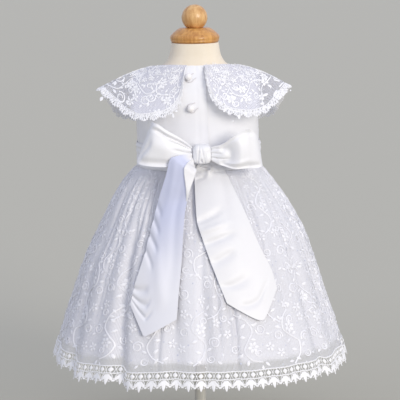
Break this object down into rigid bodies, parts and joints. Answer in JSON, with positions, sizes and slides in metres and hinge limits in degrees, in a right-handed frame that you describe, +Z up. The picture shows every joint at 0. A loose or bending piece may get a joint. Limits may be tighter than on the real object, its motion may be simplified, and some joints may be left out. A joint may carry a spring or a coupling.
{
  "type": "baby tulle dress on a limbless dress form",
  "caption": "Baby's gathered tulle dress with cape collar, satin sash and back bow, filled out by a limbless child's dress form on a pole and round base",
  "frame": {"origin": "on the floor under the middle of the pole", "axes": "+Z up along the pole, -Y out of the back of the dress with the buttons and the bow, +X to the right seen from behind the dress"},
  "size_m": [0.4162, 0.3937, 0.6165],
  "materials": {
    "satin": "white woven polyester satin",
    "lining_satin": "white woven satin lining",
    "embroidered_tulle": "white net with rayon embroidery",
    "guipure_lace": "white chemical lace edging",
    "pearl": "pearlised plastic",
    "form_cloth": "cream cotton jersey",
    "turned_wood": "turned and varnished beech"
  },
  "bodies": {
    "root": {"form_torso": "form_cloth", "neck_cap": "turned_wood", "finial_ball": "turned_wood", "stand_pole": "turned_wood", "stand_base": "turned_wood", "bodice_front": "satin", "bodice_back_left": "satin", "bodice_back_right": "satin", "button_upper": "pearl", "button_lower": "pearl", "collar_left": "embroidered_tulle", "collar_right": "embroidered_tulle", "collar_lace_left": "guipure_lace", "collar_lace_right": "guipure_lace", "skirt_tulle_front": "embroidered_tulle", "skirt_tulle_back": "embroidered_tulle", "skirt_lining_front": "lining_satin", "skirt_lining_back": "lining_satin", "hem_lace_front": "guipure_lace", "hem_lace_back": "guipure_lace", "sash_band": "satin", "bow_loop_left": "satin", "bow_loop_right": "satin", "bow_knot": "satin", "bow_tail_left": "satin", "bow_tail_right": "satin"}
  },
  "joints": []
}
